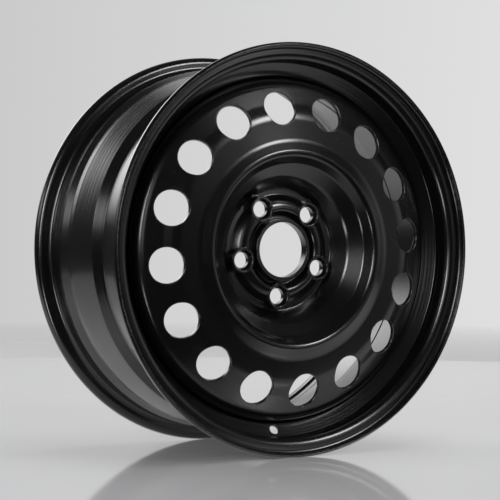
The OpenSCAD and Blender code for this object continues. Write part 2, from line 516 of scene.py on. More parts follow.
@dataclass
class Rim:
    """The rolled rim: two J flanges, bead seats, humps, inboard shelf and well.

    Every size is in mm or degrees, as in the CAD source.
    """

    seat_d: float = 436.6
    rim_w: float = 190.5
    thickness: float = 2.8
    flange_h: float = 17.5
    curl_r: float = 8.0
    lip_reach: float = 4.0
    lip_drop: float = 2.2
    lip_flat_w: float = 1.5
    lip_bend_r: float = 3.0
    seat_fillet_r: float = 6.5
    seat_taper: float = 5.0
    seat_w: float = 15.6
    hump_h: float = 1.7
    hump_rise_w: float = 4.2
    hump_top_w: float = 8.0
    flat_rise: float = 0.2
    well_r: float = 201.0
    well_in: float = -6.0
    side_lean: float = 33.0
    side_top_r: float = 216.2
    shelf_in: tuple[float, float] = (208.8, 7.5)
    shelf_out: tuple[float, float] = (214.6, 49.0)
    hump_foot_z: float = 57.5
    valve_d: float = 11.5
    valve_clock: float = 183.0
    valve_r: float = 208.0
    valve_z: float = -67.0
    valve_edge_r: float = 0.5
    edge_r: float = 0.9
    patch_reach: float = 7.6
    patch_lines: int = 12
    patch_columns: int = 4

    def side_z(self, radius: float) -> float:
        """Position of the well's outboard side at a radius."""
        return self.valve_z - (radius - self.valve_r) * math.tan(math.radians(self.side_lean))

    def section(self) -> Section:
        """The rim's section, from the outboard lip to the inboard lip."""
        t = self.thickness
        wall = self.rim_w / 2 + t / 2
        top = self.seat_d / 2 + self.flange_h - t / 2
        curl = self.curl_r - t / 2
        lip = wall + curl + self.lip_reach
        lip_corner = wall + curl + self.lip_flat_w
        seat = self.seat_d / 2 - t / 2
        foot_z = wall - self.seat_w
        foot_r = seat - self.seat_w * math.tan(math.radians(self.seat_taper))
        crest_r, crest_z = foot_r + self.hump_h, foot_z - self.hump_rise_w
        well = self.well_r - t / 2
        fillet = self.seat_fillet_r + t / 2
        rise = self.flat_rise

        def flange(side: int, crest_bend: float) -> list[Corner]:
            """Corners from the lip to the hump's crest: side is -1 outboard and 1 inboard."""
            return [
                Corner(top - self.lip_drop, side * lip),
                Corner(top, side * lip_corner, self.lip_bend_r),
                Corner(top, side * wall, curl),
                Corner(seat, side * wall, fillet),
                Corner(foot_r, side * foot_z, 5),
                Corner(crest_r + rise, side * crest_z, crest_bend),
            ]

        middle = [
            Corner(self.side_top_r, self.side_z(self.side_top_r), 3.5),
            Corner(well, self.side_z(well), 6),
            Corner(well, self.well_in, 6),
            Corner(self.shelf_in[0] - t / 2, self.shelf_in[1], 6),
            Corner(self.shelf_out[0] - t / 2, self.shelf_out[1], 8),
            Corner(self.shelf_out[0] + rise - t / 2, self.hump_foot_z, 5),
            Corner(crest_r, crest_z - self.hump_top_w, 5),
        ]
        return Section(flange(-1, 3) + middle + flange(1, 4)[::-1], t)

    def build(self) -> bpy.types.Object:
        """Makes the rim's mesh with its valve hole."""
        section = self.section()
        clock = math.radians(self.valve_clock)
        sheet = Sheet(section, clock, self.edge_r)
        place = section.nearest(self.valve_r, self.valve_z)
        start, end = place - self.patch_reach, place + self.patch_reach
        lines, half = self.patch_lines, self.patch_columns
        around = np.linspace(start, end, lines + 1)
        for face in Face:
            sheet.strip(face, section.rows(self.edge_r, start))
            sheet.strip(face, section.rows(end, section.length[-1] - self.edge_r))
            sheet.sector(face, around, half, COLUMNS - half)
        sheet.cap(False)
        sheet.cap(True)
        edges = (self.valve_edge_r, self.valve_edge_r)
        hole = Hole(section, place, clock, self.valve_d / 2, edges, half, start, end, lines)
        hole.add(sheet.shell, 3)
        return sheet.shell.build("rim_barrel")

    def make(self) -> list[bpy.types.Object]:
        """Builds and dresses the rim."""
        rim = self.build()
        dress(rim, BlackPaint(Slot.RIM, rolled=0.0003).material(), Slot.RIM, "rim")
        return [rim]


# Disc


def soft_min(a: float | np.ndarray, b: np.ndarray, blend: float) -> np.ndarray:
    """The smaller of two heights, with a rounded corner where they cross."""
    h = np.clip(0.5 + 0.5 * (b - a) / blend, 0, 1)
    return b * (1 - h) + a * h - blend * h * (1 - h)


def soft_max(a: float | np.ndarray, b: np.ndarray, blend: float) -> np.ndarray:
    """The larger of two heights, with a rounded corner where they cross."""
    return -soft_min(-a, -b, blend)


@dataclass
class NutSeats:
    """The five conical nut seats on the pressed ridge, and the ridge between them.

    A boss is the round rise in which a seat is sunk, and its back is the dent behind it.
    A blend is how wide the rounding is where two surfaces cross. The rings are radii round
    a nut hole, at which the mesh has its points.

    Args:
        section: the disc's section.
        clock: clock angle of the first seat, in radians.
    """

    section: Section
    clock: float
    count: int = 5
    circle_r: float = 54.0
    hole_r: float = 9.1
    hole_z: float = -61.0
    half_angle: float = 30.0
    boss_top_z: float = -66.4
    boss_top_r: float = 14.6
    boss_foot_r: float = 16.0
    boss_foot_z: float = -57.0
    boss_foot_blend: float = 1.6
    boss_blend: float = 1.0
    seat_blend: float = 0.7
    boss_back_z: float = -56.4
    back_flat_w: float = 3.4
    back_foot_z: float = -54.75
    back_sink: float = 0.3
    back_edge_w: float = 1.0
    back_edge_slope: float = 5.0
    back_blend: float = 1.0
    back_edge_blend: float = 0.8
    start_r: float = 36.75
    end_r: float = 71.25
    lines: int = 44
    half_span: int = 13
    outer_rings: tuple[float, ...] = (
        16.6, 16.1, 15.7, 15.3, 14.9, 14.5, 14.0, 13.5, 13.0, 12.6, 12.2, 11.8, 11.2, 10.4, 9.5,
    )
    inner_rings: tuple[float, ...] = (16.4, 15.8, 15.2, 14.6, 14.0, 13.4, 12.8, 12.0, 10.8, 9.6)
    worn_rings: tuple[float, float] = (11.9, 13.3)
    patch_r: float = 17.1

    def __post_init__(self) -> None:
        """Keeps both faces as heights over radius."""
        hub_end, count, early, collar_z = 75, 6000, 1.5, -60
        s = np.linspace(0, hub_end, count)
        self.heights: dict[Face, tuple[np.ndarray, np.ndarray]] = {}
        for face in Face:
            p, _ = self.section.on_face(s, face)
            rising = np.maximum.accumulate(p[:, 0])
            keep = (p[:, 0] >= rising - 1e-9) & (p[:, 0] > self.start_r - early)
            if face is Face.INNER:
                keep &= p[:, 1] > collar_z
            self.heights[face] = (p[keep, 0], p[keep, 1])

    def plain(self, radius: np.ndarray, face: Face) -> np.ndarray:
        """Height of a face without the seats."""
        r, z = self.heights[face]
        return np.interp(radius, r, z)

    def height(self, x: np.ndarray, z: np.ndarray, face: Face) -> np.ndarray:
        """Height of a face with the seats on it, over the plane of the wheel."""
        radius = np.hypot(x, z)
        clock = np.arctan2(x, z)
        pitch = 2 * math.pi / self.count
        turn = (clock - self.clock + pitch / 2) % pitch - pitch / 2
        square = radius**2 + self.circle_r**2 - 2 * radius * self.circle_r * np.cos(turn)
        far = np.sqrt(np.maximum(square, 0))
        h = self.plain(radius, face)
        if face is Face.OUTER:
            top = self.boss_top_z
            steep = (self.boss_foot_z - top) / (self.boss_foot_r - self.boss_top_r)
            side = top + (far - self.boss_top_r) * steep
            h = soft_min(h, soft_max(top, side, self.boss_foot_blend), self.boss_blend)
            cone = self.hole_z - (far - self.hole_r) / math.tan(math.radians(self.half_angle))
            return soft_max(h, cone, self.seat_blend)
        back_z, flat_w = self.boss_back_z, self.back_flat_w
        slope = (back_z - self.back_foot_z) / (self.hole_r + flat_w - self.boss_foot_r)
        side = back_z - (far - self.hole_r - flat_w) * abs(slope)
        back = soft_min(back_z, side - self.back_sink, self.back_blend)
        edge = back_z - (far - self.boss_foot_r + self.back_edge_w) * self.back_edge_slope
        back = soft_min(back, edge, self.back_edge_blend)
        return soft_max(h, back, self.back_blend)

    def surface(
        self, x: np.ndarray, z: np.ndarray, face: Face
    ) -> tuple[np.ndarray, np.ndarray]:
        """Points and outward normals of a face over places in the wheel's plane."""
        d = 0.06
        h = self.height(x, z, face)
        hx = (self.height(x + d, z, face) - self.height(x - d, z, face)) / (2 * d)
        hz = (self.height(x, z + d, face) - self.height(x, z - d, face)) / (2 * d)
        n = np.stack([-hx, np.ones_like(h), -hz], -1) * face.value
        return np.stack([x, h, z], -1), unit(n)

    def add(self, sheet: Sheet) -> None:
        """Adds the whole ring of seats to the sheet that carries them."""
        radii = np.linspace(self.start_r, self.end_r, self.lines + 1)
        pitch = COLUMNS // self.count
        for k in range(self.count):
            centre = self.clock + k * pitch * COLUMN_TURN
            t = centre + np.arange(self.half_span, pitch - self.half_span + 1) * COLUMN_TURN
            for face in Face:
                x = radii[:, None] * np.sin(t)[None, :]
                z = radii[:, None] * np.cos(t)[None, :]
                sheet.shell.grid(*self.surface(x, z, face), False)
            self._seat(sheet.shell, centre, radii)

    def _seat(self, shell: Shell, centre: float, radii: np.ndarray) -> None:
        """Adds one seat: its patch on both faces, its cone and its hole."""
        seat_wear, lip_wear, wall_wear = 0.6, 0.5, 0.2
        t = centre + np.arange(-self.half_span, self.half_span + 1) * COLUMN_TURN
        ends = np.ones(len(t) - 1)
        sides = np.ones(self.lines)
        edge_r = np.concatenate([ends * radii[0], radii[:-1], ends * radii[-1], radii[:0:-1]])
        edge_t = np.concatenate([t[:-1], sides * t[-1], t[:0:-1], sides * t[0]])
        edge_x, edge_z = edge_r * np.sin(edge_t), edge_r * np.cos(edge_t)
        mid_x, mid_z = self.circle_r * math.sin(centre), self.circle_r * math.cos(centre)
        way = np.arctan2(edge_z - mid_z, edge_x - mid_x)
        cos, sin = np.cos(way), np.sin(way)
        inward = np.stack([-cos, np.zeros_like(way), -sin], -1)
        near_x, near_z = mid_x + self.patch_r * cos, mid_z + self.patch_r * sin
        wall = []
        for face, rings in ((Face.OUTER, self.outer_rings), (Face.INNER, self.inner_rings)):
            rows = Rows()
            for w in (0, 0.3, 0.6, 0.82, 1.0):
                x, z = edge_x * (1 - w) + near_x * w, edge_z * (1 - w) + near_z * w
                rows.add(*self.surface(x, z, face))
            for reach in rings:
                worn = face is Face.OUTER and self.worn_rings[0] < reach < self.worn_rings[1]
                surface = self.surface(mid_x + reach * cos, mid_z + reach * sin, face)
                rows.add(*surface, seat_wear if worn else 0.0)
            ring_y = float(rows.points[-1][:, 1].mean())
            ease = rings[-1] - self.hole_r
            for degrees in (30, 60, 90):
                a = math.radians(degrees)
                reach = self.hole_r + ease * (1 - math.sin(a))
                x, z = mid_x + reach * cos, mid_z + reach * sin
                y = np.full_like(x, ring_y - face.value * ease * (1 - math.cos(a)))
                rows.add(
                    np.stack([x, y, z], -1),
                    unit(rows.normals[-1] * math.cos(a) + inward * math.sin(a)),
                    lip_wear if degrees < 90 else wall_wear,
                )
            points, normals, wear = rows.arrays()
            shell.grid(points, normals, True, wear)
            wall.append(points[-1])
        shell.grid(np.array(wall), np.array([inward, inward]), True, wall_wear)


@dataclass
class Disc:
    """The stamped disc: hub plate, nut-seat ridge, bowl, crown, vent band and skirt.

    Every size is in mm or degrees, as in the CAD source.
    """

    thickness: float = 4.5
    wheel_offset: float = 52.5
    bore_d: float = 63.4
    bore_front_z: float = -67.8
    bore_bend_r: float = 6.0
    clock: float = 185.0
    ridge_h: float = 9.6
    ridge_in_r: float = 42.4
    ridge_out_r: float = 63.2
    ridge_crest_r: float = 46.0
    ridge_shoulder_r: float = 52.8
    ridge_round_r: float = 11.5
    plate_r: float = 72.0
    bowl_foot: tuple[float, float] = (86.0, -74.0)
    bowl_top: tuple[float, float] = (101.0, -84.5)
    crown: tuple[float, float] = (110.0, -97.3)
    groove: tuple[float, float] = (124.5, -91.2)
    band_start: tuple[float, float] = (152.6, -89.35)
    band_bend_r: float = 34.0
    groove_bend_r: float = 24.0
    band_slope: float = 19.3
    skirt_bend_r: float = 17.0
    skirt_end_z: float = -24.0
    skirt_r: float = 198.15
    vent_count: int = 16
    vent_d: float = 40.0
    vent_circle_r: float = 162.4
    vent_z: float = -87.0
    vent_edges: tuple[float, float] = (1.1, 0.5)
    edge_r: float = 0.8
    patch_reach: tuple[float, float] = (24.0, 23.2)
    patch_lines: int = 18

    def section(self) -> Section:
        """The disc's section, from the bore's collar to the skirt's end."""
        t = self.thickness
        slope = math.tan(math.radians(self.band_slope))
        plate = -self.wheel_offset - t / 2
        collar = self.bore_d / 2 + t / 2
        ridge = plate - self.ridge_h
        vent_mid = self.vent_z + t / 2 / math.cos(math.radians(self.band_slope))
        skirt = self.skirt_r - t / 2
        skirt_top = vent_mid + (skirt - self.vent_circle_r) * slope
        return Section(
            [
                Corner(collar, self.bore_front_z),
                Corner(collar, plate, self.bore_bend_r - t / 2),
                Corner(self.ridge_in_r, plate, 4),
                Corner(self.ridge_crest_r, ridge, 3),
                Corner(self.ridge_shoulder_r, ridge, self.ridge_round_r),
                Corner(self.ridge_out_r, plate, 4),
                Corner(self.plate_r, plate, 4.5),
                Corner(*self.bowl_foot, 16),
                Corner(*self.bowl_top, 12),
                Corner(*self.crown, 5),
                Corner(*self.groove, self.groove_bend_r),
                Corner(*self.band_start, self.band_bend_r),
                Corner(self.vent_circle_r + 4, vent_mid + 4 * slope, 20),
                Corner(skirt, skirt_top, self.skirt_bend_r),
                Corner(skirt, self.skirt_end_z),
            ],
            t,
        )

    def build(self) -> bpy.types.Object:
        """Makes the disc's mesh with its bore, nut seats and vent holes."""
        section = self.section()
        clock = math.radians(self.clock)
        sheet = Sheet(section, clock, self.edge_r)
        total = section.length[-1]
        seats = NutSeats(section, clock)
        # Rough places along the line, near which the exact ones are looked for.
        collar_s, plate_s, bowl_s, skirt_s = 14.0, 64.0, 100, total - 60
        count = 8000
        s = np.linspace(bowl_s, skirt_s, count)
        off = np.abs(section.along(s)[0][:, 0] - self.vent_circle_r)
        vent_s = float(s[np.argmin(off)])
        start, end = vent_s - self.patch_reach[0], vent_s + self.patch_reach[1]
        for face in Face:
            hub_in = section.place_of(face, seats.start_r, collar_s)
            hub_out = section.place_of(face, seats.end_r, plate_s)
            sheet.strip(face, section.rows(self.edge_r, hub_in))
            sheet.strip(face, section.rows(hub_out, start))
            sheet.strip(face, section.rows(end, total - self.edge_r))
        seats.add(sheet)
        sheet.cap(False)
        sheet.cap(True)
        pitch = COLUMNS / self.vent_count
        patch = (self.vent_d / 2, self.vent_edges, pitch / 2, start, end, self.patch_lines)
        for k in range(self.vent_count):
            middle = clock + (k + 0.5) * pitch * COLUMN_TURN
            Hole(section, vent_s, middle, *patch).add(sheet.shell)
        return sheet.shell.build("disc_stamping")

    def make(self) -> list[bpy.types.Object]:
        """Builds and dresses the disc."""
        disc = self.build()
        dress(disc, BlackPaint(Slot.DISC).material(), Slot.DISC, "disc")
        return [disc]


# Nodes


Socket = bpy.types.NodeSocket
Sockets = dict[str, Socket]
Value = float | tuple[float, ...] | Socket


class Net:
    """A node tree that is given its nodes together with their inputs.

    Args:
        tree: the tree of a group, a material, a lamp or the world.
    """

    def __init__(self, tree: bpy.types.NodeTree) -> None:
        self.tree = tree

    def give(self, node: bpy.types.Node, inputs: dict[str | int, Value]) -> bpy.types.Node:
        """Sets a node's inputs, or links them to the sockets that they are given."""
        for key, value in inputs.items():
            if isinstance(value, Socket):
                self.tree.links.new(value, node.inputs[key])
            else:
                node.inputs[key].default_value = value
        return node

    def add(self, kind: str, inputs: dict[str | int, Value] | None = None) -> Socket:
        """Adds a node with its inputs and returns its first output."""
        return self.give(self.tree.nodes.new(kind), inputs or {}).outputs[0]

    def outputs(self, kind: str, inputs: dict[str | int, Value] | None = None) -> Sockets:
        """Adds a node with its inputs and returns its outputs by their names."""
        node = self.give(self.tree.nodes.new(kind), inputs or {})
        return {socket.name: socket for socket in node.outputs}

    def math(self, operation: str, a: Value, b: Value = 0.0, clamp: bool = False) -> Socket:
        """Adds a Math node and returns its result."""
        node = self.give(self.tree.nodes.new("ShaderNodeMath"), {0: a, 1: b})
        node.operation = operation
        node.use_clamp = clamp
        return node.outputs[0]

    def ramp(self, value: Value, start: Value, slope: float) -> Socket:
        """How far a value is past a start, times a slope, and held from 0 to 1."""
        return self.math("MULTIPLY", self.math("SUBTRACT", value, start), slope, True)

    def measure(self, operation: str, a: Value, b: Value = (0.0, 0.0, 0.0)) -> Socket:
        """Adds a Vector Math node whose result is one number, and returns it."""
        node = self.give(self.tree.nodes.new("ShaderNodeVectorMath"), {0: a, 1: b})
        node.operation = operation
        return node.outputs["Value"]

    def coordinate(self, name: str = "Object") -> Socket:
        """Adds a Texture Coordinate node and returns one of its outputs."""
        return self.outputs("ShaderNodeTexCoord")[name]

    def noise(self, place: Socket, scale: Value, detail: float) -> Socket:
        """Adds a Noise node and returns its value."""
        return self.add("ShaderNodeTexNoise", {"Vector": place, "Scale": scale, "Detail": detail})

    def tint(self, share: Value, plain: Value, other: Value) -> Socket:
        """Adds a Mix node between two colours and returns its result."""
        node = self.tree.nodes.new("ShaderNodeMix")
        node.data_type = "RGBA"
        self.give(node, {"Factor": share, "A": plain, "B": other})
        return node.outputs["Result"]


# Camera and lamps


def point_at(obj: bpy.types.Object, place: Vector, aim: Vector, roll: float = 0.0) -> None:
    """Puts a camera or a lamp at a place and turns it to a point.

    Args:
        obj: the camera or lamp.
        place: where it goes, in metres.
        aim: the point that it faces.
        roll: degrees that it leans to its left.
    """
    obj.location = place
    obj.rotation_mode = "QUATERNION"
    lean = Quaternion((0.0, 0.0, 1.0), math.radians(roll))
    obj.rotation_quaternion = (aim - place).to_track_quat("-Z", "Y") @ lean


@dataclass
class Photographer:
    """The camera, at the photograph's angle and distance.

    Args:
        azimuth: degrees round the wheel from straight ahead of its face.
        elevation: degrees over the horizon.
        distance: metres from the wheel's middle.
        focal: focal length in pixels of the photograph.
        aim: offset of the aimed point to the right and up, in metres.
        roll: degrees that the camera leans to its left.
        sensor: width of its sensor in mm.
    """

    azimuth: float = -31.0586
    elevation: float = 0.2617
    distance: float = 2.01633
    focal: float = 1696.986
    aim: tuple[float, float] = (-0.0036663, -0.0009598)
    roll: float = 0.4411
    sensor: float = 36.0

    def place(self) -> None:
        """Makes the camera and gives it to the scene."""
        a, e = math.radians(self.azimuth), math.radians(self.elevation)
        back = Vector((math.sin(a) * math.cos(e), -math.cos(a) * math.cos(e), math.sin(e)))
        right = Vector((math.cos(a), math.sin(a), 0.0))
        up = right.cross(-back)
        data = bpy.data.cameras.new("camera")
        data.sensor_width = self.sensor
        data.lens = self.focal / PHOTO_PIXELS * self.sensor
        camera = placed("camera", data)
        aim = right * self.aim[0] + up * self.aim[1]
        point_at(camera, back * self.distance, aim, self.roll)
        bpy.context.scene.camera = camera


@dataclass(frozen=True)
class Softbox:
    """One soft lamp.

    Args:
        name: its name.
        place: where it hangs, in metres.
        size: width and height in metres.
        power: watts, were the cloth as bright at its edges as in its middle.
        aim: the point that it faces.
        mirrored: True where shiny paint shows it.
        fade: share of the half width and height over which the cloth dims.
    """

    name: str
    place: tuple[float, float, float]
    size: tuple[float, float]
    power: float
    aim: tuple[float, float, float] = (0.0, 0.0, 0.0)
    mirrored: bool = True
    fade: float = 0.8

    def cloth(self, tree: bpy.types.NodeTree) -> None:
        """Dims the lamp softly towards its edges."""
        net = Net(tree)
        across = net.outputs("ShaderNodeNewGeometry")["Parametric"]
        place = net.outputs("ShaderNodeSeparateXYZ", {0: across})
        middle = 0.5
        shares = []
        for axis in "XY":
            off = net.math("ABSOLUTE", net.math("SUBTRACT", place[axis], middle))
            ramp = tree.nodes.new("ShaderNodeMapRange")
            ramp.interpolation_type = "SMOOTHSTEP"
            bright = middle * (1 - self.fade)
            net.give(ramp, {"Value": off, "From Min": middle, "From Max": bright})
            shares.append(ramp.outputs["Result"])
        net.give(tree.nodes["Emission"], {"Strength": net.math("MULTIPLY", *shares)})

    def hang(self) -> None:
        """Makes the lamp."""
        data = bpy.data.lights.new(self.name, "AREA")
        data.shape = "RECTANGLE"
        data.size, data.size_y = self.size
        data.energy = self.power
        data.use_nodes = True
        self.cloth(data.node_tree)
        lamp = placed(self.name, data)
        point_at(lamp, Vector(self.place), Vector(self.aim))
        lamp.visible_glossy = self.mirrored
        lamp.visible_camera = False


def toward(azimuth: float, elevation: float, distance: float) -> tuple[float, float, float]:
    """A place seen from the wheel's middle.

    Args:
        azimuth: degrees from +Y towards +X.
        elevation: degrees over the horizon.
        distance: metres.

    Returns:
        Its x, y and z.
    """
    a, e = math.radians(azimuth), math.radians(elevation)
    flat = distance * math.cos(e)
    return flat * math.sin(a), flat * math.cos(a), distance * math.sin(e)


LAMPS = (
    Softbox("front_right_box", toward(153, 29, 2.8), (1.0, 1.0), 45.0),
    Softbox("front_right_strip", toward(151, 7, 2.8), (0.36, 1.0), 2.0),
    Softbox("left_box", toward(-74, 17, 2.6), (2.1, 0.95), 16.0),
    Softbox("back_box", toward(-10, 23, 2.6), (3.1, 1.5), 50.0),
    Softbox("front_left_box", toward(-127, 17, 2.8), (0.9, 1.9), 60.0),
    Softbox("front_left_glow", toward(-148, 13, 2.9), (0.9, 2.0), 7.0),
    Softbox("front_left_gleam", toward(-127, -24, 2.8), (0.9, 1.1), 22.0),
    Softbox("right_fill", toward(118, 6, 3.0), (2.8, 1.9), 6.0),
    Softbox("floor_lamp", (-0.9, 1.3, 0.9), (1.0, 1.0), 14.0, (-0.75, 0.95, FLOOR_Z), False),
    Softbox("top_panel", (0.3, 0.0, 2.6), (3.0, 3.0), 120.0, mirrored=False, fade=0.9),
)


# Finishes


class Effect(Enum):
    """Shader effects that more than one paint uses."""

    PEEL = "orange_peel"
    SPECKS = "dust_specks"
    ROLLED = "rolling_marks"
    WEAR = "edge_wear"
    CLOUDS = "paint_clouds"


@dataclass(frozen=True)
class Recipe:
    """What the shader group of an effect holds.

    Args:
        inputs: its inputs, all floats, with their defaults.
        output: name of its one output, a float.
        nodes: adds its nodes and returns the socket that it puts out.
    """

    inputs: dict[str, float]
    output: str
    nodes: Callable[[Net, Sockets], Socket]


def orange_peel(net: Net, given: Sockets) -> Socket:
    """Fine waviness of sprayed paint, as a height in metres."""
    finer = 3.1
    place = net.coordinate()
    broad = net.noise(place, given["Scale"], 1.0)
    fine = net.noise(place, net.math("MULTIPLY", given["Scale"], finer), 1.0)
    both = net.math("ADD", broad, net.math("MULTIPLY", fine, given["Fine"]))
    return net.math("MULTIPLY", both, given["Depth"])


def dust_specks(net: Net, given: Sockets) -> Socket:
    """Small grains of dust under the paint, as a mask from 0 to 1."""
    steepness = 12.0
    place = {"Vector": net.coordinate(), "Scale": given["Scale"]}
    cells = net.outputs("ShaderNodeTexVoronoi", place)
    red = net.add("ShaderNodeSeparateColor", {0: cells["Color"]})
    chosen = net.math("LESS_THAN", red, given["Share"])
    return net.math("MULTIPLY", net.ramp(given["Size"], cells["Distance"], steepness), chosen)


def rolling_marks(net: Net, given: Sockets) -> Socket:
    """Low rings round the axle that the rolls leave in a rolled sheet, as a height in metres."""
    place = net.outputs("ShaderNodeSeparateXYZ", {0: net.coordinate()})
    squares = [net.math("MULTIPLY", place[axis], place[axis]) for axis in "XZ"]
    radius = net.math("SQRT", net.math("ADD", *squares))
    section = net.add("ShaderNodeCombineXYZ", {"X": radius, "Y": place["Y"]})
    return net.math("MULTIPLY", net.noise(section, given["Scale"], 1.0), given["Depth"])


def edge_wear(net: Net, given: Sockets) -> Socket:
    """Thin, rubbed paint on the rounded edges, as a mask from 0 to 1."""
    steepness = 8.0
    edge = net.tree.nodes.new("ShaderNodeAttribute")
    edge.attribute_name = EDGE
    rough = net.noise(net.coordinate(), given["Scale"], 4.0)
    patchy = net.ramp(rough, given["Reach"], steepness)
    worn = net.math("MULTIPLY", edge.outputs["Fac"], patchy)
    return net.math("MULTIPLY", worn, given["Strength"], True)


def paint_clouds(net: Net, given: Sockets) -> Socket:
    """Slow change of the paint over a whole piece, around zero."""
    mean = 0.5
    cloud = net.noise(net.coordinate(), given["Scale"], 3.0)
    return net.math("MULTIPLY", net.math("SUBTRACT", cloud, mean), given["Range"])


RECIPES = {
    Effect.PEEL: Recipe({"Scale": 320.0, "Depth": 0.00002, "Fine": 0.3}, "Height", orange_peel),
    Effect.SPECKS: Recipe({"Scale": 500.0, "Size": 0.2, "Share": 0.3}, "Mask", dust_specks),
    Effect.ROLLED: Recipe({"Scale": 300.0, "Depth": 0.00001}, "Height", rolling_marks),
    Effect.WEAR: Recipe({"Strength": 0.6, "Scale": 160.0, "Reach": 0.5}, "Mask", edge_wear),
    Effect.CLOUDS: Recipe({"Scale": 14.0, "Range": 0.05}, "Value", paint_clouds),
}


def effect_group(kind: Effect) -> bpy.types.NodeTree:
    """Makes the shader group of an effect."""
    recipe = RECIPES[kind]
    tree = bpy.data.node_groups.new(kind.value, "ShaderNodeTree")
    face = tree.interface
    for label, value in recipe.inputs.items():
        socket = face.new_socket(label, in_out="INPUT", socket_type="NodeSocketFloat")
        socket.default_value = value
    face.new_socket(recipe.output, in_out="OUTPUT", socket_type="NodeSocketFloat")
    net = Net(tree)
    made = recipe.nodes(net, net.outputs("NodeGroupInput"))
    net.give(tree.nodes.new("NodeGroupOutput"), {recipe.output: made})
    return tree


def effect(net: Net, kind: Effect, values: dict[str, float]) -> Socket:
    """Places an effect in a material.

    Args:
        net: the material's nodes.
        kind: the effect, whose group is made the first time it is used.
        values: the values of its inputs.

    Returns:
        Its output.
    """
    node = net.tree.nodes.new("ShaderNodeGroup")
    node.node_tree = bpy.data.node_groups.get(kind.value) or effect_group(kind)
    return net.give(node, values).outputs[0]


@dataclass(frozen=True)
class BlackPaint:
    """Black wheel paint over steel.

    Args:
        slot: the slot that it fills, which gives the material its name.
        color: the paint's colour.
        dust: colour of the paint over a grain of dust.
        rubbed: colour of the paint where it is worn thin.
        roughness: roughness of the paint under its skin.
        coat: weight of the smooth skin.
        coat_roughness: roughness of the skin.
        peel_scale: waves of the skin per metre.
        peel_depth: depth of the skin's waves in metres.
        specks: share of the dust cells that hold a grain.
        speck_depth: height of a grain in metres.
        wear: strength of the wear on the edges.
        worn_roughness: how much rougher worn paint is.
        rolled: depth of the rolling marks in metres; none on a pressed piece.
        ior: index of refraction.
    """

    slot: Slot
    color: tuple[float, float, float] = (0.0035, 0.0036, 0.0040)
    dust: tuple[float, float, float] = (0.020, 0.020, 0.021)
    rubbed: tuple[float, float, float] = (0.045, 0.044, 0.043)
    roughness: float = 0.24
    coat: float = 0.6
    coat_roughness: float = 0.11
    peel_scale: float = 300.0
    peel_depth: float = 0.00003
    specks: float = 0.25
    speck_depth: float = 0.00004
    wear: float = 0.5
    worn_roughness: float = 0.12
    rolled: float = 0.0
    ior: float = 1.55

    def material(self) -> bpy.types.Material:
        """Builds the material."""
        material, net, shader = new_material(self.slot.value)
        waves = {"Scale": self.peel_scale, "Depth": self.peel_depth, "Fine": 0.35}
        peel = effect(net, Effect.PEEL, waves)
        grains = effect(net, Effect.SPECKS, {"Scale": 620.0, "Size": 0.28, "Share": self.specks})
        worn = effect(net, Effect.WEAR, {"Strength": self.wear, "Scale": 210.0, "Reach": 0.42})
        cloud = effect(net, Effect.CLOUDS, {"Scale": 16.0, "Range": 0.10})
        dusty = net.tint(grains, (*self.color, 1), (*self.dust, 1))
        rough = net.math("ADD", cloud, self.roughness)
        rougher = net.math("MULTIPLY", worn, self.worn_roughness)
        height = net.math("ADD", peel, net.math("MULTIPLY", grains, self.speck_depth))
        if self.rolled > 0:
            marks = effect(net, Effect.ROLLED, {"Scale": 260.0, "Depth": self.rolled})
            height = net.math("ADD", height, marks)
        inputs = {
            "Base Color": net.tint(worn, dusty, (*self.rubbed, 1)),
            "Roughness": net.math("ADD", rough, rougher, True),
            "Normal": net.add("ShaderNodeBump", {"Distance": 1.0, "Height": height}),
            "IOR": self.ior,
            "Coat Weight": self.coat,
            "Coat Roughness": self.coat_roughness,
        }
        net.give(shader, inputs)
        return material


def new_material(name: str) -> tuple[bpy.types.Material, Net, bpy.types.Node]:
    """Makes a material and returns it with its nodes and its Principled BSDF."""
    material = bpy.data.materials.new(name)
    material.use_nodes = True
    tree = material.node_tree
    return material, Net(tree), tree.nodes["Principled BSDF"]


def dress(piece: bpy.types.Object, paint: bpy.types.Material, slot: Slot, *nodes: str) -> None:
    """Gives a piece its paint, hangs it on the body and hides the CAD parts that it replaces."""
    piece.data.materials.clear()
    piece.data.materials.append(paint)
    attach(piece, BODY)
    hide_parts(*nodes)


# Weld beads


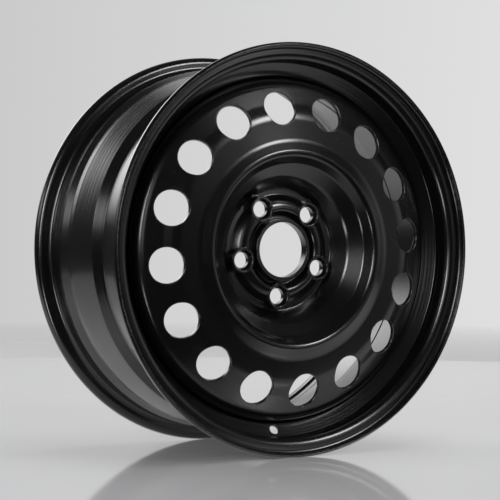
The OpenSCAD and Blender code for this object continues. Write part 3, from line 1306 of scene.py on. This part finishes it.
@dataclass
class WeldBeads:
    """The eight fillet beads between the disc's skirt and the rim's well.

    Every size is in mm or degrees. Geometry Nodes lay the ripples of each bead along its arc.

    Args:
        count: how many beads go round.
        clock: clock angle of the disc.
        arc: length of a bead in degrees.
        arc_r: radius of the line that the ripples lie on.
        place: position of that line along the axle.
        pitch: distance from one ripple to the next.
        along, face, rise: half sizes of a ripple along the bead, over its face and out of it.
        tilt: lean of the bead's face from the skirt to the well.
        least, most: limits of the random stretch of a ripple, for each of its half sizes.
        facets: segments and rings of a ripple's ball.
        seed: seed of the ripples' small differences.
    """

    count: int = 8
    clock: float = 185.0
    arc: float = 24.0
    arc_r: float = 195.62
    place: float = -21.42
    pitch: float = 1.45
    along: float = 1.45
    face: float = 3.1
    rise: float = 1.65
    tilt: float = 45.0
    least: tuple[float, float, float] = (0.92, 0.90, 0.90)
    most: tuple[float, float, float] = (1.08, 1.0, 1.0)
    facets: tuple[int, int] = (16, 9)
    seed: int = 7

    def nodes(self) -> bpy.types.NodeTree:
        """Builds the node group that lays one bead's ripples."""
        tree = bpy.data.node_groups.new("weld_ripples", "GeometryNodeTree")
        kinds = {
            "Ripples": "Int",
            "Radius": "Float",
            "Place": "Float",
            "Middle": "Float",
            "Arc": "Float",
            "Half Size": "Vector",
            "Seed": "Int",
            "Paint": "Material",
        }
        face = tree.interface
        face.new_socket("Geometry", in_out="OUTPUT", socket_type="NodeSocketGeometry")
        for name, kind in kinds.items():
            face.new_socket(name, in_out="INPUT", socket_type=f"NodeSocket{kind}")
        net = Net(tree)
        given = net.outputs("NodeGroupInput")
        last = net.math("SUBTRACT", given["Ripples"], 1.0)
        share = net.math("DIVIDE", net.add("GeometryNodeInputIndex"), last)
        turn = net.math("MULTIPLY", net.math("SUBTRACT", share, 0.5), given["Arc"])
        turn = net.math("ADD", turn, given["Middle"])
        where = {"Y": given["Place"]}
        for axis, kind in (("X", "SINE"), ("Z", "COSINE")):
            where[axis] = net.math("MULTIPLY", net.math(kind, turn), given["Radius"])
        line = net.add("GeometryNodeMeshLine", {"Count": given["Ripples"]})
        spots = {"Geometry": line, "Position": net.add("ShaderNodeCombineXYZ", where)}
        segments, rings = self.facets
        ball = {"Segments": segments, "Rings": rings, "Radius": 1.0}
        shape = {"Geometry": net.add("GeometryNodeMeshUVSphere", ball), "Scale": given["Half Size"]}
        tilted = {
            "Geometry": net.add("GeometryNodeTransform", shape),
            "Rotation": (math.radians(self.tilt), 0, 0),
        }
        unlike = tree.nodes.new("FunctionNodeRandomValue")
        unlike.data_type = "FLOAT_VECTOR"
        net.give(unlike, {"Min": self.least, "Max": self.most, "Seed": given["Seed"]})
        ripples = {
            "Points": net.add("GeometryNodeSetPosition", spots),
            "Instance": net.add("GeometryNodeTransform", tilted),
            "Rotation": net.add("ShaderNodeCombineXYZ", {"Y": turn}),
            "Scale": unlike.outputs["Value"],
        }
        bead = net.add("GeometryNodeInstanceOnPoints", ripples)
        for kind in ("GeometryNodeRealizeInstances", "GeometryNodeSetShadeSmooth"):
            bead = net.add(kind, {"Geometry": bead})
        painted = {"Geometry": bead, "Material": given["Paint"]}
        bead = net.add("GeometryNodeSetMaterial", painted)
        net.give(tree.nodes.new("NodeGroupOutput"), {"Geometry": bead})
        return tree

    def build(self, paint: bpy.types.Material) -> list[bpy.types.Object]:
        """Makes the beads' meshes, in the order of their CAD nodes."""
        tree = self.nodes()
        sockets = {item.name: item.identifier for item in tree.interface.items_tree}
        length = math.radians(self.arc) * self.arc_r - 2 * self.along
        beads = []
        for i in range(self.count):
            name = f"weld_ripples_{i + 1}"
            bead = placed(name, bpy.data.meshes.new(name))
            layer = bead.modifiers.new("ripples", "NODES")
            layer.node_group = tree
            values = {
                "Ripples": round(length / self.pitch) + 1,
                "Radius": self.arc_r * MM,
                "Place": self.place * MM,
                "Middle": math.radians(self.clock + (i + 0.5) * 360 / self.count),
                "Arc": length / self.arc_r,
                "Half Size": (self.along * MM, self.face * MM, self.rise * MM),
                "Seed": self.seed + i,
                "Paint": paint,
            }
            for socket, value in values.items():
                layer[sockets[socket]] = value
            graph = bpy.context.evaluated_depsgraph_get()
            mesh = bpy.data.meshes.new_from_object(bead.evaluated_get(graph))
            bead.modifiers.remove(layer)
            mesh.polygons.foreach_set("material_index", np.zeros(len(mesh.polygons), int))
            bead.data = mesh
            mesh.name = name
            beads.append(bead)
        return beads

    def make(self) -> list[bpy.types.Object]:
        """Builds and dresses the beads."""
        paint = BlackPaint(Slot.BEAD, roughness=0.42, coat=0.3).material()
        beads = self.build(paint)
        for i, bead in enumerate(beads):
            dress(bead, paint, Slot.BEAD, f"weld_bead_{i + 1}")
        return beads


# Studio


@dataclass(frozen=True)
class Backdrop:
    """The pale surroundings and the floor.

    Ways are directions from the wheel's middle, +X to the right and +Y behind the wheel.

    Args:
        pale: what the camera sees behind the wheel.
        dim: what lights the wheel where no lamp hangs.
        dark_way: the way in which the dim surroundings darken; its length is how fast.
        darkening: share of their light that they lose there.
        mirrored_from: how far to the right and behind a way is where the paint mirrors the pale.
        mirrored_slope: how fast the pale comes in there.
        strength: strength of the pale straight behind, and how much it grows to the right.
        strength_limits: least and most strength of the pale.
        floor: colour of the floor.
        floor_roughness: roughness of the floor.
        floor_glow: share of the floor's colour that needs no lamp, as the paint mirrors it.
        seen_glow: the same share as the camera sees it.
        shine_r: radius in metres at which the floor has lost its shine.
        fade_r: radius in metres at which it starts to melt into the surroundings.
        fade_slope: how much it melts over a metre.
        table_r: radius of the bright floor that the paint mirrors, in metres.
        table_slope: how much that floor fades over a metre.
        front_way: the way out in front of the wheel, towards the camera.
        table_front: how far that floor reaches out that way, in metres.
        front_slope: how much it fades over a metre there.
        reach: half of the floor's side in metres.
    """

    pale: tuple[float, float, float] = (0.62, 0.62, 0.625)
    dim: tuple[float, float, float] = (0.05, 0.05, 0.053)
    dark_way: tuple[float, float, float] = (-1.0, -1.7, 0.0)
    darkening: float = 0.65
    mirrored_from: tuple[float, float] = (0.1, 0.45)
    mirrored_slope: tuple[float, float] = (5.0, 3.0)
    strength: tuple[float, float] = (0.62, 0.9)
    strength_limits: tuple[float, float] = (0.95, 1.22)
    floor: tuple[float, float, float] = (0.60, 0.60, 0.61)
    floor_roughness: float = 0.07
    floor_glow: float = 0.30
    seen_glow: float = 0.08
    shine_r: float = 1.6
    fade_r: float = 0.5
    fade_slope: float = 0.38
    table_r: float = 1.15
    table_slope: float = 2.5
    front_way: tuple[float, float, float] = (-0.511, -0.86, 0.0)
    table_front: float = 0.14
    front_slope: float = 6.0
    reach: float = 6.0

    def surroundings(self) -> None:
        """Makes the world: pale behind the wheel, dim where the studio is dark."""
        world = bpy.data.worlds.new("studio")
        bpy.context.scene.world = world
        world.use_nodes = True
        tree = world.node_tree
        net = Net(tree)
        way = net.coordinate("Generated")
        dark = net.math("MULTIPLY", net.measure("DOT_PRODUCT", way, self.dark_way), 1.0, True)
        light = net.math("SUBTRACT", 1.0, net.math("MULTIPLY", dark, self.darkening))
        dim = net.give(tree.nodes["Background"], {"Color": (*self.dim, 1), "Strength": light})
        part = net.outputs("ShaderNodeSeparateXYZ", {0: way})
        base, growth = self.strength
        least, most = self.strength_limits
        bright = net.math("ADD", net.math("MULTIPLY", part["X"], growth), base)
        bright = net.math("MINIMUM", net.math("MAXIMUM", bright, least), most)
        pale = net.add("ShaderNodeBackground", {"Color": (*self.pale, 1), "Strength": bright})
        sides = [
            net.ramp(part[axis], start, slope)
            for axis, start, slope in zip("XY", self.mirrored_from, self.mirrored_slope)
        ]
        ray = net.outputs("ShaderNodeLightPath")
        mirrored = net.math("MULTIPLY", ray["Is Glossy Ray"], net.math("MULTIPLY", *sides))
        seen = net.math("ADD", self.camera_sees(net, ray), mirrored, True)
        mixed = net.add("ShaderNodeMixShader", {0: seen, 1: dim.outputs[0], 2: pale})
        net.give(tree.nodes["World Output"], {"Surface": mixed})

    @staticmethod
    def camera_sees(net: Net, ray: Sockets) -> Socket:
        """One for a ray from the camera, also through something clear."""
        return net.math("ADD", ray["Is Camera Ray"], ray["Is Transmission Ray"], True)

    def floor_paper(self) -> bpy.types.Material:
        """Makes the floor's material; far off it melts into the surroundings."""
        material, net, shader = new_material("floor_paper")
        place = net.coordinate()
        away = net.measure("LENGTH", place)
        ray = net.outputs("ShaderNodeLightPath")
        mirrored = net.math("MULTIPLY", ray["Is Glossy Ray"], self.floor_glow)
        seen = net.math("MULTIPLY", self.camera_sees(net, ray), self.seen_glow)
        shine = net.math("SUBTRACT", self.shine_r, away, True)
        inputs = {
            "Base Color": (*self.floor, 1),
            "Roughness": self.floor_roughness,
            "Emission Color": (*self.floor, 1),
            "Emission Strength": net.math("ADD", seen, mirrored),
            "Specular IOR Level": net.math("MULTIPLY", shine, 0.5),
        }
        fade = net.ramp(away, self.fade_r, self.fade_slope)
        table = net.ramp(away, self.table_r, self.table_slope)
        ahead = net.measure("DOT_PRODUCT", place, self.front_way)
        front = net.ramp(ahead, self.table_front, self.front_slope)
        table = net.math("MAXIMUM", table, front)
        table = net.math("MULTIPLY", table, ray["Is Glossy Ray"])
        fade = net.math("MAXIMUM", fade, table)
        paper = net.give(shader, inputs).outputs[0]
        clear = net.add("ShaderNodeBsdfTransparent")
        mixed = net.add("ShaderNodeMixShader", {0: fade, 1: paper, 2: clear})
        net.give(net.tree.nodes["Material Output"], {"Surface": mixed})
        return material

    def floor_sheet(self) -> None:
        """Makes the floor that the wheel stands on."""
        mesh = bpy.data.meshes.new("floor")
        r = self.reach
        corners = [(-r, -r), (r, -r), (r, r), (-r, r)]
        mesh.from_pydata([(x, y, FLOOR_Z) for x, y in corners], [], [(0, 1, 2, 3)])
        mesh.materials.append(self.floor_paper())
        floor = placed("floor", mesh)


def main() -> None:
    """Builds the wheel and its studio."""
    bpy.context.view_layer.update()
    Photographer().place()
    Backdrop().surroundings()
    Backdrop().floor_sheet()
    for lamp in LAMPS:
        lamp.hang()
    for sub_assembly in (Rim(), Disc(), WeldBeads()):
        for piece in sub_assembly.make():
            log.info("%s: %d faces", piece.name, len(piece.data.polygons))
    bpy.context.scene.view_settings.view_transform = "Standard"


if __name__ == "__main__":
    main()
